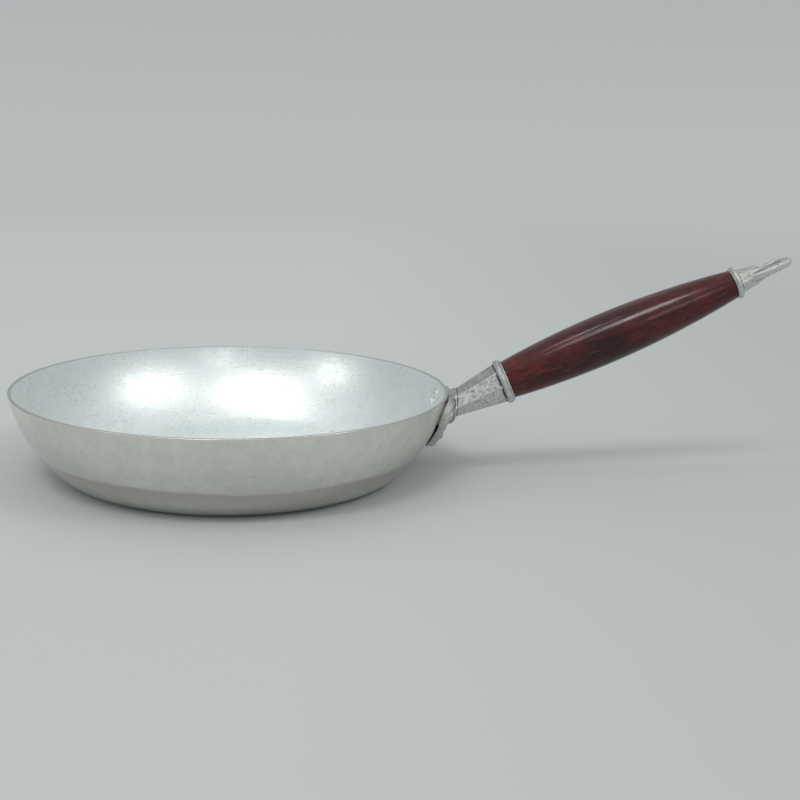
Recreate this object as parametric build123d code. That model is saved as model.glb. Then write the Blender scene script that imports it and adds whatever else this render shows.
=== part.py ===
from build123d import *
import math
import os

# An omelette pan: a pressed aluminium body, a cast bracket riveted to its wall, a turned wooden
# grip, and a cast cap with a hanging eye. A steel rod through the grip ties cap and bracket.
# Lengths are in millimetres and angles in degrees. The pan's axis is Z and its base lies on z = 0.
# The handle rises in the plane y = 0, towards +X.

# Pan body
rim_radius = 130.0
rim_height = 52.4
base_radius = 89.0
corner_radius = 22.5
wall_arc_radius = 84.5
base_thickness = 3.0
rim_thickness = 1.9
rim_edge_radius = 0.5

# Handle axis: it crosses the rim's radius this far below the rim, and the grip starts at grip_distance
handle_slope = 24.9
axis_drop = 10.0
grip_distance = 40.1

# Wooden grip: its outline is two arcs that meet at the belly, and a spigot at each end
grip_length = 146.2
grip_front_radius = 11.8
grip_belly_radius = 15.2
grip_belly_distance = 61.0
grip_back_radius = 8.7
grip_edge_radius = 0.7
grip_bore_radius = 2.8
front_spigot_radius = 9.0
front_spigot_length = 6.0
back_spigot_radius = 5.6
back_spigot_length = 4.0
spigot_fit = 0.15

# Tie rod, screwed into both castings
rod_radius = 2.5
rod_chamfer = 0.5
front_thread_length = 13.0
back_thread_length = 7.0
thread_fit = 0.05
tip_gap = 0.8

# Bracket plate: two ears for the upper rivets and a foot for the lower one, on low round pads
plate_thickness = 4.3
plate_fit = 0.1
pad_height = 1.1
pad_radius = 7.0
plate_corner_radius = 7.8
foot_half_width = 15.8
plate_edge_radius = 2.6

# Bracket root and eight-sided socket
root_distance = 4.8
root_depth = 9.0
root_half_width = 16.0
root_half_height = 9.5
root_drop = 0.4
root_flare = 0.8
socket_small_half_width = 15.2
socket_small_half_height = 8.8
socket_large_radius = 12.9
front_bead_radius = 13.9
front_bead_width = 4.0
front_lip_radius = 12.7
front_lip_width = 0.9

# Rivets, placed down from the rim: a low head inside the pan, and a closing head on the plate
upper_rivet_half_spacing = 22.2
upper_rivet_drop = 10.3
lower_rivet_drop = 25.8
shank_radius = 2.5
shank_fit = 0.05
inner_head_radius = 6.2
inner_head_height = 2.2
outer_head_radius = 3.9
outer_head_height = 2.8

# End cap: bead, eight-sided neck that flattens, and an eye with a pear-shaped hole
back_lip_radius = 9.2
back_lip_width = 0.6
back_bead_radius = 9.9
back_bead_width = 2.8
neck_large_radius = 8.1
neck_waist_distance = 15.0
neck_waist_half_width = 6.4
neck_waist_half_height = 5.8
neck_tail_distance = 22.5
neck_tail_half_width = 4.6
neck_tail_half_height = 3.4
eye_thickness = 4.6
eye_half_width = 8.4
eye_half_length = 16.2
eye_edge_radius = 1.7
cap_length = 37.2
hole_nose_wall = 6.0
hole_large_radius = 3.6
hole_small_radius = 2.4
hole_spacing = 8.6

# Share of its width that a bead's edge is rounded by
bead_round_share = 0.46
# Cuts run on by a length, and rings that follow the wall run on by an angle at both ends
overrun = 2.0
overrun_angle = 10.0
octagon_sides = 8

axis_height = rim_height - axis_drop
upper_rivet_height = rim_height - upper_rivet_drop
lower_rivet_height = rim_height - lower_rivet_drop
upper_rivets = [(side * upper_rivet_half_spacing, upper_rivet_height) for side in (-1, 1)]
rivet_spots = [*upper_rivets, (0, lower_rivet_height)]


def arc_centre_through(top, corner, corner_arc, wall_arc):
    """Centre of an arc of radius wall_arc that passes the point top and runs on from a corner arc.

    Points are pairs of radius and height. The centre lies wall_arc from top, and the difference of
    the two radii from the corner arc's centre.
    """
    across, up = top[0] - corner[0], top[1] - corner[1]
    apart = math.hypot(across, up)
    inner = wall_arc - corner_arc
    along = (inner ** 2 - wall_arc ** 2 + apart ** 2) / (2 * apart)
    aside = math.sqrt(inner ** 2 - along ** 2)
    out = (along * across - aside * up) / apart
    rise = (along * up + aside * across) / apart
    return corner[0] + out, corner[1] + rise


corner_centre = (base_radius, corner_radius)
arc_centre = arc_centre_through((rim_radius, rim_height), corner_centre, corner_radius, wall_arc_radius)
corner_tilt = math.degrees(math.atan2(arc_centre[1] - corner_radius, base_radius - arc_centre[0]))
inner_top = (rim_radius - rim_thickness, rim_height)
inner_corner_radius = corner_radius - base_thickness
inner_arc_radius = wall_arc_radius - base_thickness
inner_arc_centre = arc_centre_through(inner_top, corner_centre, inner_corner_radius, inner_arc_radius)


def wall_tilt(height, outside=0):
    """How far the normal of a face this far outside the wall points below the horizontal, at a height."""
    return math.degrees(math.asin((arc_centre[1] - height) / (wall_arc_radius + outside)))


def wall_radius(height, outside=0):
    """Distance from the pan's axis to a face this far outside the wall, at a height."""
    tilt = math.radians(wall_tilt(height, outside))
    return arc_centre[0] + (wall_arc_radius + outside) * math.cos(tilt)


def sheet_thickness(height):
    """Thickness of the wall's sheet, along the normal of its outside face at a height."""
    tilt = math.radians(wall_tilt(height))
    across, down = inner_arc_centre[0] - arc_centre[0], arc_centre[1] - inner_arc_centre[1]
    along = across * math.cos(tilt) + down * math.sin(tilt)
    aside = across * math.sin(tilt) - down * math.cos(tilt)
    return wall_arc_radius - along - math.sqrt(inner_arc_radius ** 2 - aside ** 2)


def pan_face(floor_height, corner_arc, centre, wall_arc):
    """Section of one face of the pan: floor, corner arc, and wall arc up to the rim."""
    corner_end = math.degrees(math.atan2(centre[1] - corner_radius, base_radius - centre[0]))
    rise = corner_end - math.degrees(math.asin((centre[1] - rim_height) / wall_arc))
    floor = Line((0, floor_height), (base_radius, floor_height))
    corner = CenterArc(corner_centre, corner_arc, -90, 90 - corner_end)
    return [floor, corner, CenterArc(centre, wall_arc, -corner_end, rise)]


def upper_wall_arc(outside):
    """Section of a face this far outside the wall, from below the corner's end to above the rim."""
    start = corner_tilt + overrun_angle
    rise = start - wall_tilt(rim_height) + overrun_angle
    return CenterArc(arc_centre, wall_arc_radius + outside, -start, rise)


def turned_about_z(outline):
    """Solid of revolution about the pan's axis, with its seam on the side away from the handle."""
    return Rot(0, 0, 180) * revolve(Plane.XZ * make_face(outline), Axis.Z)


def wall_band(inner, outer):
    """Ring that follows the wall between two distances outside it."""
    inside, outside = upper_wall_arc(inner), upper_wall_arc(outer)
    ends = [Line(inside @ 0, outside @ 0), Line(inside @ 1, outside @ 1)]
    return turned_about_z([inside, outside, *ends])


def wall_core(outside):
    """All that lies within a face this far outside the wall."""
    arc = upper_wall_arc(outside)
    low, high = arc @ 0, arc @ 1
    axis = Line((0, low.Y), (0, high.Y))
    return turned_about_z([arc, axis, Line(low, axis @ 0), Line(high, axis @ 1)])


def rivet_places():
    """Frames on the wall's outside face at the three rivets, with Z along the outward normal."""
    places = []
    for side, height in rivet_spots:
        radius = wall_radius(height)
        turn = math.degrees(math.asin(side / radius))
        places.append(Rot(0, 0, turn) * Pos(radius, 0, height) * Rot(0, 90 + wall_tilt(height), 0))
    return places


def on_axis(distance):
    """Frame on the handle axis, this far from the grip's pan end: Z along the axis, X across the handle."""
    slope = math.radians(handle_slope)
    run = grip_distance + distance
    origin = (rim_radius + run * math.cos(slope), 0, axis_height + run * math.sin(slope))
    return Plane(origin, x_dir=(0, 1, 0), z_dir=(math.cos(slope), 0, math.sin(slope))).location


def upright(distance):
    """Frame a little below the handle axis, this far beyond the rim's radius, with Z along +X."""
    height = axis_height - root_drop + distance * math.tan(math.radians(handle_slope))
    return Plane((rim_radius + distance, 0, height), x_dir=(0, 1, 0), z_dir=(1, 0, 0)).location


def octagon(half_width, half_height):
    """Eight-sided outline with corners at its top, bottom and sides."""
    turns = [2 * math.pi * side / octagon_sides for side in range(octagon_sides)]
    corners = [(half_width * math.cos(turn), half_height * math.sin(turn)) for turn in turns]
    return make_face(Polyline(corners, close=True))


def bar(radius, start, end):
    """Round bar on the handle axis between two distances from the grip's pan end."""
    return on_axis(start) * extrude(Circle(radius), end - start)


def bead(radius, start, width):
    """Ring with a rounded edge, on the handle axis."""
    ring = extrude(Circle(radius), width)
    ring = fillet(ring.edges().filter_by(GeomType.CIRCLE), width * bead_round_share)
    return on_axis(start) * ring


def make_pan_shell():
    """The pan before its rivet holes. The sheet is thickest in the base and thins towards the rim."""
    outer = pan_face(0, corner_radius, arc_centre, wall_arc_radius)
    inner = pan_face(base_thickness, inner_corner_radius, inner_arc_centre, inner_arc_radius)
    ends = [Line((0, 0), (0, base_thickness)), Line(outer[-1] @ 1, inner[-1] @ 1)]
    section = make_face([*outer, *inner, *ends])
    section = fillet(section.vertices().sort_by(Axis.Y)[-2:], rim_edge_radius)
    return Rot(0, 0, 180) * revolve(Plane.XZ * section, Axis.Z)


def make_pan_body():
    body = make_pan_shell()
    for place in rivet_places():
        body -= place * extrude(Circle(shank_radius + shank_fit), base_thickness + overrun, both=True)
    return body


def plate_outline():
    """Outline of the bracket's plate seen along X: wide at the upper rivets, narrow at the foot."""
    foot = [(side * (foot_half_width - plate_corner_radius), lower_rivet_height) for side in (1, -1)]
    return offset(make_face(Polyline(*upper_rivets, *foot, close=True)), plate_corner_radius)


def make_plate_and_root():
    """Plate that follows the wall a little way off, joined to the eight-sided root of the socket."""
    stand_off = plate_fit + pad_height
    outer_face = stand_off + plate_thickness
    prism = extrude(Plane.YZ * plate_outline(), rim_radius + outer_face + overrun)
    plate = wall_core(outer_face) & prism
    edges = [edge for edge in plate.edges() if (edge @ 0).X > base_radius and (edge @ 1).X > base_radius]
    plate = fillet(edges, plate_edge_radius) - wall_core(stand_off)
    root_base = upright(root_distance - root_depth) * octagon(root_half_width + root_flare,
                                                              root_half_height + root_flare)
    root_end = upright(root_distance) * octagon(root_half_width, root_half_height)
    return plate + (loft([root_base, root_end], ruled=True) - wall_core(plate_fit))


def make_pads():
    """Low round pads, one round each rivet, that touch the wall and reach into the plate."""
    pads = []
    top = plate_fit + pad_height + plate_thickness / 2
    for place in rivet_places():
        pads.append(wall_band(plate_fit, top) & (place * extrude(Circle(pad_radius), top, both=True)))
    return pads


def make_handle_bracket():
    bead_start = -front_lip_width - front_bead_width
    small_end = octagon(socket_small_half_width, socket_small_half_height)
    large_end = octagon(socket_large_radius, socket_large_radius)
    sections = [upright(root_distance) * small_end, on_axis(bead_start + front_bead_width / 2) * large_end]
    bracket = make_plate_and_root() + loft(sections, ruled=True)
    bracket += bead(front_bead_radius, bead_start, front_bead_width)
    bracket += bar(front_lip_radius, bead_start + front_bead_width / 2, 0)
    bracket += make_pads()
    socket_floor = -front_spigot_length - spigot_fit
    bracket -= bar(front_spigot_radius + spigot_fit, socket_floor, overrun)
    thread_end = socket_floor - front_thread_length - tip_gap
    bracket -= bar(rod_radius + thread_fit, thread_end, overrun)
    for place in rivet_places():
        bracket -= place * extrude(Circle(shank_radius + shank_fit), plate_thickness + overrun, both=True)
    return bracket


def dome(radius, height):
    """Cap of a sphere standing on the plane z = 0, with a short skirt below it that meets a curved seat."""
    ball = (radius ** 2 + height ** 2) / (2 * height)
    start = math.degrees(math.asin((ball - height) / ball))
    arc = CenterArc((0, height - ball), ball, start, 90 - start)
    skirt = shank_radius
    lines = Polyline(arc @ 0, (radius, -skirt), (0, -skirt), arc @ 1)
    return revolve(Plane.XZ * make_face([arc, *lines.edges()]), Axis.Z)


def make_rivets():
    """Three rivets, each with heads that take the curve of the wall and of the plate."""
    outer_face = plate_fit + pad_height + plate_thickness
    outer_head = Pos(0, 0, outer_face) * dome(outer_head_radius, outer_head_height)
    inner_dome = Rot(180, 0, 0) * dome(inner_head_radius, inner_head_height)
    shell, plate_space = make_pan_shell(), wall_band(0, outer_face)
    rivets = []
    for place, (_, height) in zip(rivet_places(), rivet_spots):
        inner_face = -sheet_thickness(height)
        shank_start = inner_face - inner_head_height / 2
        shank_length = outer_face + outer_head_height / 2 - shank_start
        heads = place * (Pos(0, 0, inner_face) * inner_dome + outer_head) - shell - plate_space
        rivets.append(heads + place * Pos(0, 0, shank_start) * extrude(Circle(shank_radius), shank_length))
    return Compound(rivets)


def make_wood_grip():
    back = grip_length
    back_end = grip_length + back_spigot_length
    belly = (grip_belly_radius, grip_belly_distance)
    front_arc = TangentArc([belly, (grip_front_radius, 0)], tangent=(0, -1))
    back_arc = TangentArc([belly, (grip_back_radius, back)], tangent=(0, 1))
    front = Polyline((grip_front_radius, 0), (front_spigot_radius, 0),
                     (front_spigot_radius, -front_spigot_length), (grip_bore_radius, -front_spigot_length))
    rear = Polyline((grip_back_radius, back), (back_spigot_radius, back),
                    (back_spigot_radius, back_end), (grip_bore_radius, back_end))
    section = make_face([front_arc, back_arc, *front.edges(), *rear.edges(), Line(front @ 1, rear @ 1)])
    corners = [min(section.vertices(), key=lambda v, p=p: (v.center() - Vector(*p)).length)
               for p in ((grip_front_radius, 0), (grip_back_radius, back))]
    section = fillet(corners, grip_edge_radius)
    return on_axis(0) * revolve(Plane.XZ * section, Axis.Z)


def make_tie_rod():
    start = -front_spigot_length - spigot_fit - front_thread_length
    end = grip_length + back_spigot_length + spigot_fit + back_thread_length
    rod = extrude(Circle(rod_radius), end - start)
    rod = chamfer(rod.edges().filter_by(GeomType.CIRCLE), rod_chamfer)
    return on_axis(start) * rod


def make_eye():
    """Flat oval eye, rounded all over, with its hole still to be cut. Its nose is the end of the cap."""
    disc = extrude(Ellipse(eye_half_width, eye_half_length), eye_thickness / 2, both=True)
    disc = fillet(disc.edges().filter_by(GeomType.ELLIPSE), eye_edge_radius)
    return disc


def make_end_cap():
    flat = Rot(-90, 0, 0)
    bead_start = grip_length + back_lip_width
    cap = bar(back_lip_radius, grip_length, bead_start + back_bead_width / 2)
    cap += bead(back_bead_radius, bead_start, back_bead_width)
    waist = octagon(neck_waist_half_width, neck_waist_half_height)
    tail = octagon(neck_tail_half_width, neck_tail_half_height)
    sections = [on_axis(bead_start + back_bead_width / 2) * octagon(neck_large_radius, neck_large_radius),
                on_axis(grip_length + neck_waist_distance) * waist,
                on_axis(grip_length + neck_tail_distance) * tail]
    cap += loft(sections, ruled=True)
    nose = grip_length + cap_length
    cap += on_axis(nose - eye_half_length) * flat * make_eye()
    large_centre = nose - hole_nose_wall - hole_large_radius
    circles = [Circle(hole_large_radius), Pos(0, hole_spacing) * Circle(hole_small_radius)]
    hole = make_hull([edge for circle in circles for edge in circle.edges()])
    hole = extrude(hole, neck_large_radius, both=True)
    cap -= on_axis(large_centre) * flat * hole
    socket_floor = grip_length + back_spigot_length + spigot_fit
    cap -= bar(back_spigot_radius + spigot_fit, grip_length - overrun, socket_floor)
    cap -= bar(rod_radius + thread_fit, grip_length, socket_floor + back_thread_length + tip_gap)
    return cap


nodes = {
    "pan_body": make_pan_body(),
    "handle_bracket": make_handle_bracket(),
    "rivets": make_rivets(),
    "wood_grip": make_wood_grip(),
    "tie_rod": make_tie_rod(),
    "end_cap": make_end_cap(),
}
os.makedirs("parts", exist_ok=True)
for name, solid in nodes.items():
    export_step(solid, f"parts/{name}.step")
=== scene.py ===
import math

import bpy
import numpy as np
from mathutils import Matrix, Vector


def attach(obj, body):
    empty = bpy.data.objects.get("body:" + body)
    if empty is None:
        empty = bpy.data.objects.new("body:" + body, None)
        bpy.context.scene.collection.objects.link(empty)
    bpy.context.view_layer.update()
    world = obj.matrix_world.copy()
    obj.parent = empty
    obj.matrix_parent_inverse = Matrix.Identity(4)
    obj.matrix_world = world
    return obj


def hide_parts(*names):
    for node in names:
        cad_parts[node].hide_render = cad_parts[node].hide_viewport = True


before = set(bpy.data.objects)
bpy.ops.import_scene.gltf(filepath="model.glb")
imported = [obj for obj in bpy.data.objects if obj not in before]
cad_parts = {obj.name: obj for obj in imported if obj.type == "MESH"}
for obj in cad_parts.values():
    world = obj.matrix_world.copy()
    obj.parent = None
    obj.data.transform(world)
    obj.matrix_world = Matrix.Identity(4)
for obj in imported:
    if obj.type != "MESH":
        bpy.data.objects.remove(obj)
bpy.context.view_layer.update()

scene = bpy.context.scene
scene.view_settings.view_transform = "Standard"

# Pan body
# One round blank of aluminium sheet, pressed to a flat base and curved, sloping sides, with its
# edge rounded off. It stands on the table by itself. Inside it is polished to a satin shine and
# has fine turning rings and small pits, and outside it is duller and darker in a band near the base.

rim_radius = 0.130
rim_height = 0.0524
base_radius = 0.089
corner_radius = 0.0225
wall_arc_radius = 0.0845
base_thickness = 0.003
rim_thickness = 0.0019
rim_edge_radius = 0.0005
rim_points = 8
pan_columns = 384
inner_rows_by_part = (40, 18, 48)
outer_rows_by_part = (24, 18, 48)


def arc_centre_through(top, corner, corner_arc, wall_arc):
    """Centre of an arc that passes the point top and runs on from a corner arc: it lies wall_arc from
    top, and the difference of the two radii from the corner arc's centre."""
    reach = np.subtract(top, corner)
    apart = np.hypot(*reach)
    inner = wall_arc - corner_arc
    along = (inner ** 2 - wall_arc ** 2 + apart ** 2) / (2 * apart)
    aside = math.sqrt(inner ** 2 - along ** 2)
    return corner + (along * reach + aside * np.array([-reach[1], reach[0]])) / apart


def arc_points(centre, radius, start, end, count):
    """Points on an arc in the plane of radius and height: centre + radius * (cos a, sin a)."""
    angle = np.linspace(start, end, count)
    return np.stack([centre[0] + radius * np.cos(angle), centre[1] + radius * np.sin(angle)], axis=1)


def pan_side(floor_height, corner_arc, top, wall_arc, counts):
    """One face of the pan from its middle to its rim: a level line, the corner arc, and the wall arc,
    which runs on from the corner arc and stops one edge radius short of the point top."""
    corner = np.array([base_radius, corner_radius])
    centre = arc_centre_through(top, corner, corner_arc, wall_arc)
    corner_end = math.atan2(*(corner - centre)[::-1])
    rim_end = math.asin((top[1] - rim_edge_radius - centre[1]) / wall_arc)
    level = np.linspace(0, base_radius, counts[0])
    floor_line = np.stack([level, np.full(counts[0], floor_height)], axis=1)
    corner_line = arc_points(corner, corner_arc, -math.pi / 2, corner_end, counts[1])
    wall_line = arc_points(centre, wall_arc, corner_end, rim_end, counts[2])
    return joined(floor_line, corner_line, wall_line)


def joined(*parts):
    """Profile made of parts laid end to end, with points that fall on each other taken once."""
    points = np.concatenate(parts)
    steps = np.linalg.norm(np.diff(points, axis=0), axis=1)
    return points[np.concatenate([[True], steps > 1e-7])]


def turned(profile, columns, centre_line, side, up):
    """Grid of points of a turned piece: centre_line(height) + radius * (cos a * side + sin a * up)."""
    angle = np.linspace(0, 2 * math.pi, columns, endpoint=False)
    ring = np.cos(angle)[None, :, None] * side + np.sin(angle)[None, :, None] * up
    return centre_line(profile[:, 1])[:, None, :] + profile[:, :1, None] * ring


def skinned(name, grid, material):
    """Mesh over a grid of rows and closed columns. An end row on the axis becomes one point."""
    rows, columns = grid.shape[:2]
    points = grid.reshape(-1, 3)
    here = np.arange(rows * columns).reshape(rows, columns)
    for row in (0, rows - 1):
        if np.ptp(grid[row], axis=0).max() < 1e-9:
            here[row] = here[row, 0]
    beside = np.roll(here, -1, axis=1)
    quads = np.stack([here[:-1], beside[:-1], beside[1:], here[1:]], axis=-1).reshape(-1, 4)
    a, b, c, d = (points[quads[:, corner]] for corner in range(4))
    if np.einsum("ij,ij->i", a + c, np.cross(c - a, d - b)).sum() < 0:
        quads = quads[:, ::-1]
    used, index = np.unique(quads, return_inverse=True)
    faces = [[v for k, v in enumerate(quad) if v != quad[k - 1]] for quad in index.reshape(-1, 4).tolist()]
    mesh = bpy.data.meshes.new(name)
    mesh.from_pydata(points[used].tolist(), [], faces)
    mesh.shade_smooth()
    mesh.materials.append(material)
    piece = bpy.data.objects.new(name, mesh)
    scene.collection.objects.link(piece)
    return piece, used


def set_points(mesh, name, values):
    """Gives a mesh a point attribute with one number for each point."""
    mesh.attributes.new(name, "FLOAT", "POINT").data.foreach_set("value", values.astype(np.float32))


def add(tree, kind, **values):
    """New node in a tree. A value is a socket's number or colour, a link from a socket, or a setting."""
    node = tree.nodes.new(kind)
    for key, value in values.items():
        if hasattr(node, key) and key not in {"color", "inputs"}:
            setattr(node, key, value)
            continue
        name = key.replace("_", " ")
        socket = node.inputs[name] if name in node.inputs else node.inputs[int(name.split()[-1])]
        if isinstance(value, bpy.types.NodeSocket):
            tree.links.new(value, socket)
        else:
            socket.default_value = value
    return node


def maths(tree, operation, *values):
    """Result of a Math node on numbers or sockets."""
    names = [f"Input_{k}" for k in range(len(values))]
    return add(tree, "ShaderNodeMath", operation=operation, **dict(zip(names, values))).outputs[0]


def scale_range(tree, value, low, high, out_low=0.0, out_high=1.0):
    """Value moved from one range to another and kept inside it."""
    node = add(tree, "ShaderNodeMapRange", Value=value)
    for name, number in (("From Min", low), ("From Max", high), ("To Min", out_low), ("To Max", out_high)):
        node.inputs[name].default_value = number
    return node.outputs["Result"]


def mixed(tree, factor, first, second):
    """Colour between two colours, each a tuple or a socket."""
    node = add(tree, "ShaderNodeMix", data_type="RGBA")
    for slot, value in ((0, factor), (6, first), (7, second)):
        if isinstance(value, bpy.types.NodeSocket):
            tree.links.new(value, node.inputs[slot])
        else:
            node.inputs[slot].default_value = (*value, 1) if slot else value
    return node.outputs[2]


def new_material(name, **values):
    """Material with one Principled shader, its constant values set on the shader's own sockets."""
    material = bpy.data.materials.new(name)
    material.use_nodes = True
    shader = material.node_tree.nodes["Principled BSDF"]
    for key, value in values.items():
        shader.inputs[key.replace("_", " ")].default_value = value
    return material, material.node_tree, shader


def new_group(name, inputs, outputs):
    """Node group with a vector input, named number inputs with their usual values, and number outputs."""
    group = bpy.data.node_groups.new(name, "ShaderNodeTree")
    group.interface.new_socket("Vector", in_out="INPUT", socket_type="NodeSocketVector")
    for label, value in inputs.items():
        group.interface.new_socket(label, in_out="INPUT", socket_type="NodeSocketFloat").default_value = value
    for label in outputs:
        group.interface.new_socket(label, in_out="OUTPUT", socket_type="NodeSocketFloat")
    return group, group.nodes.new("NodeGroupInput").outputs, group.nodes.new("NodeGroupOutput").inputs


def placed(tree, group, **values):
    """A node group placed in a tree, with its inputs set or linked."""
    node = tree.nodes.new("ShaderNodeGroup")
    node.node_tree = group
    for key, value in values.items():
        socket = node.inputs[key.replace("_", " ")]
        if isinstance(value, bpy.types.NodeSocket):
            tree.links.new(value, socket)
        else:
            socket.default_value = value
    return node.outputs


# Turning rings: noise that depends on the distance from the pan's axis and on the height only
rings, given, result = new_group("turning rings", {"Rings per metre": 900.0}, ["Height"])
apart = add(rings, "ShaderNodeSeparateXYZ", Vector=given["Vector"])
flat = add(rings, "ShaderNodeCombineXYZ", X=apart.outputs["X"], Y=apart.outputs["Y"])
out_from_axis = add(rings, "ShaderNodeVectorMath", operation="LENGTH", Input_0=flat.outputs[0])
ring_place = add(rings, "ShaderNodeCombineXYZ", X=out_from_axis.outputs["Value"], Y=apart.outputs["Z"])
ring_noise = add(rings, "ShaderNodeTexNoise", Vector=ring_place.outputs[0], Scale=given["Rings per metre"],
                 Detail=2.0, Roughness=0.6)
rings.links.new(ring_noise.outputs[0], result["Height"])

# Pits: small round dots in a share of the cells of a cell pattern, and more of them where noise is high
pits, given, result = new_group("pits", {"Cells per metre": 300.0, "Pit size": 0.22, "Share": 0.3}, ["Mask"])
cells = add(pits, "ShaderNodeTexVoronoi", Vector=given["Vector"], Scale=given["Cells per metre"])
cell_number = add(pits, "ShaderNodeSeparateColor", Color=cells.outputs["Color"])
crowding = add(pits, "ShaderNodeTexNoise", Vector=given["Vector"], Scale=28.0, Detail=2.0)
limit = maths(pits, "MULTIPLY", scale_range(pits, crowding.outputs[0], 0.40, 0.66, 0.12, 1.0), given["Share"])
chosen = maths(pits, "LESS_THAN", cell_number.outputs[0], limit)
spread = maths(pits, "MULTIPLY", cell_number.outputs[1], given["Pit size"])
depth = maths(pits, "DIVIDE", cells.outputs["Distance"], spread)
pits.links.new(maths(pits, "MULTIPLY", scale_range(pits, depth, 0.6, 1.0, 1.0, 0.0), chosen), result["Mask"])

inside_clean = (0.88, 0.925, 0.915)
inside_dull = (0.80, 0.845, 0.835)
outside_clean = (0.80, 0.785, 0.74)
outside_stained = (0.71, 0.695, 0.65)
outside_lower_band = (0.585, 0.55, 0.525)
rim_painted_shade_grey = (0.36, 0.365, 0.355)
pit_grey = (0.47, 0.48, 0.46)
outer_turn_painted_shade = 0.45
inner_turn_painted_shade = 0.65
lower_band_top = (0.0245, 0.0230)
lower_band_foot = (0.012, 0.021)
scoured_floor = (0.010, 0.0035)
pan_metal, tree, shader = new_material("pan aluminium", Metallic=1.0)
place = add(tree, "ShaderNodeTexCoord").outputs["Object"]
inside = add(tree, "ShaderNodeAttribute", attribute_name="inside").outputs["Fac"]
rim = add(tree, "ShaderNodeAttribute", attribute_name="rim").outputs["Fac"]
ring_height = placed(tree, rings, Vector=place, Rings_per_metre=520.0)["Height"]
pit_mask = placed(tree, pits, Vector=place, Cells_per_metre=820.0, Pit_size=0.50, Share=0.80)["Mask"]
blotch = add(tree, "ShaderNodeTexNoise", Vector=place, Scale=24.0, Detail=4.0, Roughness=0.6).outputs[0]
mottle = add(tree, "ShaderNodeTexNoise", Vector=place, Scale=150.0, Detail=3.0, Roughness=0.6).outputs[0]
speckle = add(tree, "ShaderNodeTexNoise", Vector=place, Scale=520.0, Detail=3.0, Roughness=0.7).outputs[0]
uneven = maths(tree, "MULTIPLY_ADD", speckle, 0.7, maths(tree, "MULTIPLY_ADD", mottle, 0.9, blotch))
clean = mixed(tree, inside, outside_clean, inside_clean)
dull = mixed(tree, inside, outside_stained, inside_dull)
tone = mixed(tree, scale_range(tree, uneven, 1.12, 1.48), clean, dull)
parts = add(tree, "ShaderNodeSeparateXYZ", Vector=place).outputs
around = maths(tree, "MULTIPLY", maths(tree, "ARCTAN2", parts["Y"], parts["X"]), rim_radius)
unrolled = add(tree, "ShaderNodeCombineXYZ", X=maths(tree, "MULTIPLY", around, 70.0),
               Y=maths(tree, "MULTIPLY", parts["Z"], 650.0))
scratch = add(tree, "ShaderNodeTexNoise", Vector=unrolled.outputs[0], Scale=1.0, Detail=1.0).outputs[0]
tone = mixed(tree, scale_range(tree, scratch, 0.72, 0.78, 0.0, 0.5), tone, pit_grey)
# Outside, the colour turns darker in a wavy band a little above the base, and clears again at the foot.
height = maths(tree, "MULTIPLY_ADD", blotch, 0.008, parts["Z"])
lower_band = maths(tree, "MULTIPLY", scale_range(tree, height, *lower_band_top),
                 scale_range(tree, height, *lower_band_foot))
lower_band = maths(tree, "MULTIPLY", lower_band, scale_range(tree, inside, 0.5, 0.4))
tone = mixed(tree, lower_band, tone, outside_lower_band)
pitted = maths(tree, "MULTIPLY", pit_mask, scale_range(tree, inside, 0.0, 1.0, 0.15, 0.8))
tone = mixed(tree, pitted, tone, pit_grey)
# Painted shade: a dark line is painted along the turns of the rim.
tree.links.new(mixed(tree, rim, tone, rim_painted_shade_grey), shader.inputs["Base Color"])
shine = maths(tree, "ADD", scale_range(tree, inside, 0.0, 1.0, 0.22, 0.38),
              scale_range(tree, uneven, 1.1, 1.5, -0.03, 0.05))
shine = maths(tree, "MULTIPLY_ADD", rim, 0.1, shine)
scoured = maths(tree, "MULTIPLY", inside, scale_range(tree, parts["Z"], *scoured_floor))
tree.links.new(maths(tree, "MULTIPLY_ADD", scoured, 0.14, shine), shader.inputs["Roughness"])
skin = maths(tree, "MULTIPLY_ADD", ring_height, 1.3, speckle)
skin = maths(tree, "SUBTRACT", maths(tree, "MULTIPLY_ADD", mottle, 1.2, skin), pit_mask)
bump = add(tree, "ShaderNodeBump", Strength=0.4, Distance=0.0001, Height=skin)
tree.links.new(bump.outputs[0], shader.inputs["Normal"])

inner_side = pan_side(base_thickness, corner_radius - base_thickness,
                      (rim_radius - rim_thickness, rim_height), wall_arc_radius - base_thickness,
                      inner_rows_by_part)
outer_side = pan_side(0.0, corner_radius, (rim_radius, rim_height), wall_arc_radius,
                      outer_rows_by_part)[::-1]
turn_in = arc_points(inner_side[-1] + (rim_edge_radius, 0), rim_edge_radius, math.pi, math.pi / 2, rim_points)
turn_out = arc_points(outer_side[0] - (rim_edge_radius, 0), rim_edge_radius, math.pi / 2, 0, rim_points)
pan_profile = joined(inner_side, turn_in, turn_out, outer_side)


def up_z(height):
    """Points on the pan's axis at these heights."""
    return np.stack([0 * height, 0 * height, height], axis=1)


pan_grid = turned(pan_profile, pan_columns, up_z, np.array([1.0, 0, 0]), np.array([0, 1.0, 0]))
pan, used = skinned("pan", pan_grid, pan_metal)
row_number = np.repeat(np.arange(len(pan_profile)), pan_columns)[used]
inner_rows = len(joined(inner_side, turn_in))
on_outer_turn = (row_number > inner_rows) & (row_number < inner_rows + rim_points - 1)
on_inner_turn = (row_number > inner_rows - rim_points) & (row_number <= inner_rows)
set_points(pan.data, "inside", row_number < inner_rows)
# The rim attribute gives how strongly painted shade darkens each turn of the rim.
set_points(pan.data, "rim", outer_turn_painted_shade * on_outer_turn + inner_turn_painted_shade * on_inner_turn)
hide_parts("pan_body")
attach(pan, "root")

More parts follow.
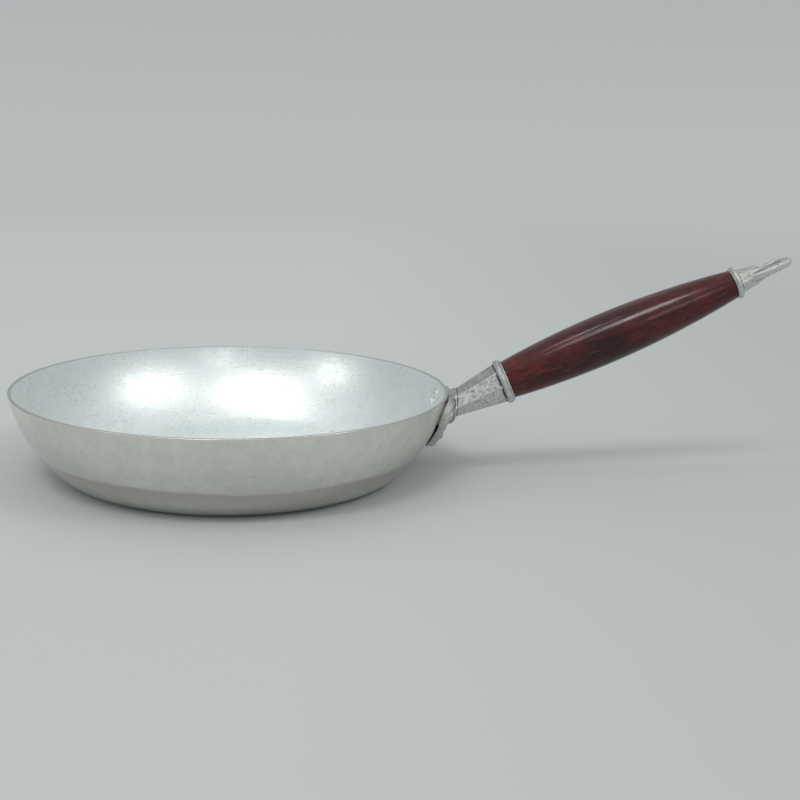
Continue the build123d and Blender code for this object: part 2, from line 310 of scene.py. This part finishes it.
# Handle bracket
# One casting in aluminium: a plate that follows the wall and is riveted to it, and an eight-sided
# socket that widens to a round bead at the wood. Its faces are left as cast, grainy and pitted,
# and its edges are rubbed bright.

slope = math.radians(24.9)
along = np.array([math.cos(slope), 0, math.sin(slope)])
across = np.array([0, 1.0, 0])
above = np.array([-math.sin(slope), 0, math.cos(slope)])

grain, given, result = new_group("cast grain", {"Grains per metre": 900.0}, ["Height", "Blotch"])
fine = add(grain, "ShaderNodeTexNoise", Vector=given["Vector"], Scale=given["Grains per metre"],
           Detail=3.0, Roughness=0.65)
coarse = add(grain, "ShaderNodeTexNoise", Vector=given["Vector"], Scale=380.0, Detail=3.0, Roughness=0.6)
grain.links.new(maths(grain, "MULTIPLY_ADD", coarse.outputs[0], 1.3, fine.outputs[0]), result["Height"])
grain.links.new(coarse.outputs[0], result["Blotch"])

weld_distance = 0.000001
ridge_rounds = 12
stained_metal = (0.34, 0.355, 0.335)
cast_pit_grey = (0.22, 0.225, 0.21)
crease_painted_shade_grey = (0.07, 0.073, 0.067)


def cast_material(name, clean, dull, rubbed, metallic, roughness, grains, relief):
    """Cast aluminium with grain, pits and patchy tarnish, with painted shade on the faces that look up and in
    its hollows, and brighter and smoother where it is rubbed."""
    metal, tree, shader = new_material(name, Metallic=metallic)
    texture = add(tree, "ShaderNodeTexCoord")
    place = texture.outputs["Object"]
    ridge = add(tree, "ShaderNodeAttribute", attribute_name="ridge").outputs["Fac"]
    skin = placed(tree, grain, Vector=place, Grains_per_metre=grains)
    pit_mask = placed(tree, pits, Vector=place, Cells_per_metre=1150.0, Pit_size=0.7, Share=0.75)["Mask"]
    wear = maths(tree, "ADD", ridge, scale_range(tree, skin["Height"], 0.8, 1.6, -0.06, 0.06))
    worn = scale_range(tree, wear, 0.16, 0.40)
    # Painted shade: faces that look up are turned towards the dull colour, together with the patchy tarnish.
    painted_shade_upward = add(tree, "ShaderNodeVectorMath", operation="DOT_PRODUCT", Input_0=texture.outputs["Normal"],
                   Input_1=above).outputs["Value"]
    patchy = scale_range(tree, skin["Blotch"], 0.36, 0.64, 0.0, 0.36)
    tarnish_and_painted_shade = maths(tree, "ADD", patchy, scale_range(tree, painted_shade_upward, -0.40, 0.50, 0.0, 0.64))
    tone = mixed(tree, tarnish_and_painted_shade, clean, dull)
    tone = mixed(tree, pit_mask, tone, cast_pit_grey)
    stain = add(tree, "ShaderNodeAttribute", attribute_name="stain").outputs["Fac"]
    tone = mixed(tree, stain, tone, stained_metal)
    # Painted shade: the hollows and creases are darkened towards a near-black grey.
    tone = mixed(tree, scale_range(tree, wear, -0.06, -0.26), tone, crease_painted_shade_grey)
    tree.links.new(mixed(tree, worn, tone, rubbed), shader.inputs["Base Color"])
    rough = scale_range(tree, skin["Height"], 0.8, 1.7, roughness - 0.06, roughness + 0.08)
    tree.links.new(maths(tree, "MULTIPLY_ADD", worn, -0.06, rough), shader.inputs["Roughness"])
    height = maths(tree, "SUBTRACT", skin["Height"], pit_mask)
    bump = add(tree, "ShaderNodeBump", Strength=relief, Distance=0.00035, Height=height)
    tree.links.new(bump.outputs[0], shader.inputs["Normal"])
    return metal


def settled(points, links, rounds):
    """Points moved half-way to the mean of their neighbours, this many rounds."""
    start, end = np.concatenate([links, links[:, ::-1]]).T
    neighbours = np.bincount(end, minlength=len(points))[:, None]
    for _ in range(rounds):
        total = np.stack([np.bincount(end, points[start, k], len(points)) for k in range(3)], axis=1)
        points = (points + total / neighbours) / 2
    return points


def as_cast(node, name, voxel, rounds, material):
    """Copy of a CAD solid with its edges softened as a sand mould leaves them. The mesh is laid anew on
    a grid of cells, and its points settle for some rounds. The point attribute ridge says how many
    cells twelve more rounds would sink a point: above 0 on an edge, and below 0 in a hollow."""
    rough = bpy.data.objects.new(name + "_rough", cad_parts[node].data.copy())
    scene.collection.objects.link(rough)
    weld = rough.modifiers.new("weld", "WELD")
    weld.merge_threshold = weld_distance
    remesh = rough.modifiers.new("cells", "REMESH")
    remesh.mode = "VOXEL"
    remesh.voxel_size = voxel
    mesh = bpy.data.meshes.new_from_object(rough.evaluated_get(bpy.context.evaluated_depsgraph_get()))
    bpy.data.objects.remove(rough)
    mesh.name = name
    points = np.empty(len(mesh.vertices) * 3)
    links = np.empty(len(mesh.edges) * 2, dtype=np.int32)
    mesh.vertices.foreach_get("co", points)
    mesh.edges.foreach_get("vertices", links)
    links = links.reshape(-1, 2)
    points = settled(points.reshape(-1, 3), links, rounds)
    mesh.vertices.foreach_set("co", points.ravel())
    mesh.update()
    normals = np.empty(len(points) * 3)
    mesh.vertex_normals.foreach_get("vector", normals)
    sink = points - settled(points, links, ridge_rounds)
    ridge = np.einsum("ij,ij->i", sink, normals.reshape(-1, 3)) / voxel
    set_points(mesh, "ridge", ridge)
    mesh.shade_smooth()
    mesh.materials.clear()
    mesh.materials.append(material)
    piece = bpy.data.objects.new(name, mesh)
    scene.collection.objects.link(piece)
    return piece


cast_metal = cast_material("cast aluminium", clean=(0.69, 0.70, 0.67), dull=(0.29, 0.305, 0.29),
                           rubbed=(0.66, 0.68, 0.66), metallic=0.8, roughness=0.50, grains=950.0, relief=0.7)
bracket = as_cast("handle_bracket", "bracket", voxel=0.0004, rounds=1, material=cast_metal)
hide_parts("handle_bracket")
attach(bracket, "root")

# Rivets
# Three solid aluminium rivets hold the bracket to the wall: two high up beside the socket and one
# low under it. Each has a low head inside the pan, and a rounder one, hammered over the plate,
# which is tarnished like the plate.

rivet_metal = cast_material("rivet aluminium", clean=(0.86, 0.90, 0.89), dull=(0.80, 0.84, 0.83),
                            rubbed=(0.84, 0.87, 0.86), metallic=1.0, roughness=0.42, grains=700.0, relief=0.03)
rivets = as_cast("rivets", "rivets_set", voxel=0.00025, rounds=2, material=rivet_metal)
points = np.empty(len(rivets.data.vertices) * 3)
rivets.data.vertices.foreach_get("co", points)
wall_centre = arc_centre_through(np.array([rim_radius, rim_height]), np.array([base_radius, corner_radius]),
                                 corner_radius, wall_arc_radius)
from_axis = np.hypot(points[0::3], points[1::3])
outside_wall = np.hypot(from_axis - wall_centre[0], points[2::3] - wall_centre[1]) > wall_arc_radius
set_points(rivets.data, "stain", outside_wall)
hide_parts("rivets")
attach(rivets, "root")

# Wooden grip
# A barrel-shaped piece of hardwood, turned on a lathe, bored through for the rod, stained dark red
# and varnished. Its ends sit in the bracket's socket and in the cap.

axis_drop = 0.010
grip_distance = 0.0401
grip_length = 0.1462
grip_front_radius = 0.0118
grip_belly_radius = 0.0152
grip_belly_distance = 0.061
grip_back_radius = 0.0087
grip_edge_radius = 0.0007
grip_bore_radius = 0.0028
front_spigot_radius = 0.009
front_spigot_length = 0.006
back_spigot_radius = 0.0056
back_spigot_length = 0.004
spigot_fit = 0.00015
grip_columns = 160
axis_start = np.array([rim_radius, 0, rim_height - axis_drop]) + grip_distance * along


def on_handle(distance):
    """Points on the handle's axis at these distances from the grip's pan end."""
    return axis_start + distance[:, None] * along


def belly_arc(end_radius, end_distance, count):
    """Radius against distance on the circle that touches the belly's widest point and meets an end."""
    run = end_distance - grip_belly_distance
    drop = grip_belly_radius - end_radius
    circle = (run ** 2 + drop ** 2) / (2 * drop)
    distance = np.linspace(grip_belly_distance, end_distance, count)
    radius = grip_belly_radius - circle + np.sqrt(circle ** 2 - (distance - grip_belly_distance) ** 2)
    return np.stack([radius, distance], axis=1)


back_end = grip_length + back_spigot_length
front_half = belly_arc(grip_front_radius, grip_edge_radius, 60)[::-1]
back_half = belly_arc(grip_back_radius, grip_length - grip_edge_radius, 90)
front_edge = arc_points((grip_front_radius - grip_edge_radius, grip_edge_radius), grip_edge_radius,
                        -math.pi / 2, 0, 6)
back_edge = arc_points((grip_back_radius - grip_edge_radius, grip_length - grip_edge_radius),
                       grip_edge_radius, 0, math.pi / 2, 6)
front_spigot = np.array([(grip_bore_radius, -front_spigot_length),
                         (front_spigot_radius, -front_spigot_length), (front_spigot_radius, 0)])
back_spigot = np.array([(back_spigot_radius, grip_length), (back_spigot_radius, back_end),
                        (grip_bore_radius, back_end), (grip_bore_radius, -front_spigot_length)])
grip_profile = joined(front_spigot, front_edge, front_half, back_half, back_edge, back_spigot)

wood_black = (0.017, 0.0036, 0.0034)
wood_brown = (0.033, 0.0055, 0.0053)
wood_red = (0.125, 0.0125, 0.0130)
wood_fleck = (0.17, 0.034, 0.033)
wood_pore = (0.005, 0.003, 0.003)
wood, tree, shader = new_material("stained wood", Coat_Weight=0.03, Coat_Roughness=0.40,
                                  Specular_IOR_Level=0.36)
place = add(tree, "ShaderNodeTexCoord").outputs["Object"]
level = add(tree, "ShaderNodeMapping", vector_type="TEXTURE", Vector=place, Location=axis_start,
            Rotation=(0, -slope, 0))
on_grain = level.outputs[0]
distance_along = add(tree, "ShaderNodeSeparateXYZ", Vector=on_grain).outputs["X"]


def grain_noise(stretch, **values):
    """Noise in the handle's directions, drawn out along the grain where stretch is smaller that way."""
    spot = add(tree, "ShaderNodeVectorMath", operation="MULTIPLY", Input_0=on_grain, Input_1=stretch)
    return add(tree, "ShaderNodeTexNoise", Vector=spot.outputs[0], Scale=1.0, **values).outputs[0]


figure = grain_noise((12.0, 150.0, 150.0), Detail=5.0, Roughness=0.65, Distortion=0.6)
pores = grain_noise((130.0, 1500.0, 1500.0), Detail=2.0)
flecks = grain_noise((90.0, 620.0, 620.0), Detail=3.0)
cloud = add(tree, "ShaderNodeTexNoise", Vector=on_grain, Scale=34.0, Detail=3.0).outputs[0]
near_end = maths(tree, "MAXIMUM", scale_range(tree, distance_along, 0.030, 0.0),
                 scale_range(tree, distance_along, 0.085, grip_length))
redness = maths(tree, "MULTIPLY_ADD", near_end, 0.30, cloud)
tone = mixed(tree, scale_range(tree, redness, 0.42, 0.80), wood_brown, wood_red)
tone = mixed(tree, scale_range(tree, figure, 0.68, 0.30, 0.0, 0.75), tone, wood_black)
tone = mixed(tree, scale_range(tree, flecks, 0.54, 0.74, 0.0, 0.6), tone, wood_fleck)
tone = mixed(tree, scale_range(tree, pores, 0.47, 0.31), tone, wood_pore)
tree.links.new(tone, shader.inputs["Base Color"])
tree.links.new(scale_range(tree, pores, 0.3, 0.6, 0.24, 0.11), shader.inputs["Roughness"])
fibre = maths(tree, "MULTIPLY_ADD", pores, 0.7, figure)
bump = add(tree, "ShaderNodeBump", Strength=0.45, Distance=0.00012, Height=fibre)
tree.links.new(bump.outputs[0], shader.inputs["Normal"])

grip_grid = turned(grip_profile, grip_columns, on_handle, across, above)
grip, _ = skinned("grip", np.concatenate([grip_grid, grip_grid[:1]]), wood)
weld = grip.modifiers.new("closed bore", "WELD")
weld.merge_threshold = weld_distance
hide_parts("wood_grip")
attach(grip, "root")

# Tie rod
# A steel rod through the grip, screwed into the bracket and into the cap. It pulls the cap
# against the wood and the wood against the bracket, and nothing of it shows.

rod_radius = 0.0025
front_thread_length = 0.013
back_thread_length = 0.007
thread_depth = 0.0004
thread_pitch = 0.0008
rod_columns = 48
rod_start = -front_spigot_length - spigot_fit - front_thread_length
rod_end = back_end + spigot_fit + back_thread_length
rod_steel, tree, shader = new_material("rod steel", Metallic=1.0, Base_Color=(0.55, 0.55, 0.56, 1))
place = add(tree, "ShaderNodeTexCoord").outputs["Object"]
oil = add(tree, "ShaderNodeTexNoise", Vector=place, Scale=300.0, Detail=3.0).outputs[0]
tree.links.new(scale_range(tree, oil, 0.3, 0.7, 0.28, 0.45), shader.inputs["Roughness"])


def threaded_rod(distance, angle):
    """Grid of a rod whose radius drops by a groove that runs round once in each thread pitch, and
    ends in a point at both ends, on the axis."""
    turn = distance[:, None] / thread_pitch - angle / (2 * math.pi)
    groove = np.abs((turn % 1) - 0.5) * 2 * thread_depth
    in_thread = (distance < -front_spigot_length) | (distance > back_end)
    radius = rod_radius - groove * in_thread[:, None]
    radius = np.concatenate([0 * radius[:1], radius, 0 * radius[:1]])
    ring = np.cos(angle)[:, None] * across + np.sin(angle)[:, None] * above
    centres = on_handle(np.concatenate([distance[:1], distance, distance[-1:]]))
    return centres[:, None, :] + radius[..., None] * ring


rod_grid = threaded_rod(np.arange(rod_start, rod_end, thread_pitch / 8),
                        np.linspace(0, 2 * math.pi, rod_columns, endpoint=False))
rod, _ = skinned("rod", rod_grid, rod_steel)
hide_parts("tie_rod")
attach(rod, "root")

# End cap
# A casting like the bracket, with less tarnish and lighter painted shade on its upper faces: a bead against
# the wood, an eight-sided neck that thins, and a flat eye to hang the pan by. It is screwed onto the end of
# the rod.

cap_metal = cast_material("cap aluminium", clean=(0.68, 0.70, 0.67), dull=(0.42, 0.435, 0.41),
                          rubbed=(0.68, 0.70, 0.68), metallic=0.8, roughness=0.46, grains=950.0, relief=0.6)
cap = as_cast("end_cap", "cap", voxel=0.00026, rounds=2, material=cap_metal)
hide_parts("end_cap")
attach(cap, "root")

# Floor and room
# A plain pale floor that fades into a background of the same colour, under soft lamps far away: two
# in front and above that give the handle its shadow and the wood its streak, a small one high on the
# left that adds to the streak, and others low on the left, low in front, on the right and above.

floor_grey = (0.543, 0.567, 0.561)
floor_right_painted_shade_grey = (0.448, 0.470, 0.457)
horizon_grey = (0.470, 0.493, 0.498)
wall_grey = (0.434, 0.456, 0.462)
ceiling_grey = (0.60, 0.63, 0.635)
floor_reach = 30.0
floor_material, tree, shader = new_material("floor", Roughness=0.8, Specular_IOR_Level=0.2)
place = add(tree, "ShaderNodeTexCoord").outputs["Object"]
# Painted shade: the floor's colour turns darker towards the right.
painted_shade_to_right = scale_range(tree, add(tree, "ShaderNodeSeparateXYZ", Vector=place).outputs["X"], 0.05, 0.55)
tree.links.new(mixed(tree, painted_shade_to_right, floor_grey, floor_right_painted_shade_grey), shader.inputs["Base Color"])
far = add(tree, "ShaderNodeVectorMath", operation="LENGTH", Input_0=place)
glow = add(tree, "ShaderNodeEmission", Color=(*horizon_grey, 1))
blend = add(tree, "ShaderNodeMixShader", Input_0=scale_range(tree, far.outputs["Value"], 0.5, 2.4),
            Input_1=shader.outputs[0], Input_2=glow.outputs[0])
tree.links.new(blend.outputs[0], tree.nodes["Material Output"].inputs["Surface"])
floor_mesh = bpy.data.meshes.new("floor")
floor_corners = [(x * floor_reach, y * floor_reach, 0) for x, y in ((-1, -1), (1, -1), (1, 1), (-1, 1))]
floor_mesh.from_pydata(floor_corners, [], [range(4)])
floor_mesh.materials.append(floor_material)
floor = bpy.data.objects.new("floor", floor_mesh)
scene.collection.objects.link(floor)

room = bpy.data.worlds.new("room")
scene.world = room
room.use_nodes = True
tree = room.node_tree
direction = add(tree, "ShaderNodeTexCoord").outputs["Generated"]
rise = add(tree, "ShaderNodeSeparateXYZ", Vector=direction).outputs["Z"]
wall = mixed(tree, scale_range(tree, rise, 0.0, 0.10), horizon_grey, wall_grey)
wall = mixed(tree, scale_range(tree, rise, 0.15, 0.70), wall, ceiling_grey)
tree.links.new(wall, tree.nodes["Background"].inputs["Color"])

# Each lamp's azimuth, elevation and width in degrees, and its strength
lamps = {"key": (-101.8, 57.7, 14, 0.43), "key side": (-117, 52.6, 14, 0.15),
         "high left": (-153, 66, 8, 0.12), "left": (-149, 27, 13, 0.16), "front": (-77, 24, 14, 0.08),
         "right": (-25, 43, 22, 0.38), "top": (-90, 88, 110, 0.20)}
for name, (azimuth, elevation, width, strength) in lamps.items():
    turn, lift = math.radians(azimuth), math.radians(elevation)
    towards = Vector((math.cos(lift) * math.cos(turn), math.cos(lift) * math.sin(turn), math.sin(lift)))
    light = bpy.data.lights.new(name, "SUN")
    light.angle = math.radians(width)
    light.energy = strength
    lamp = bpy.data.objects.new(name, light)
    lamp.rotation_euler = towards.to_track_quat("Z", "Y").to_euler()
    scene.collection.objects.link(lamp)

# Camera
# It stands in front of the pan, a little to the right, looks down at it by about 13 degrees, and
# is turned slightly about its own line of sight.

camera_place = Vector((0.0764, -0.7119, 0.2066))
camera_pitch = math.radians(12.77)
camera_roll = math.radians(1.69)
camera_turn = math.radians(2.0)
look = Vector((math.sin(camera_turn) * math.cos(camera_pitch), math.cos(camera_turn) * math.cos(camera_pitch),
               -math.sin(camera_pitch)))
level_right = Vector((math.cos(camera_turn), -math.sin(camera_turn), 0))
level_up = level_right.cross(look)
picture_right = math.cos(camera_roll) * level_right + math.sin(camera_roll) * level_up
picture_up = picture_right.cross(look)
camera_data = bpy.data.cameras.new("camera")
camera_data.sensor_width = 36.0
camera_data.lens = 54.0
camera_data.clip_start = 0.01
camera = bpy.data.objects.new("camera", camera_data)
camera.matrix_world = Matrix.Translation(camera_place) @ Matrix(
    (picture_right, picture_up, -look)).transposed().to_4x4()
scene.collection.objects.link(camera)
scene.camera = camera
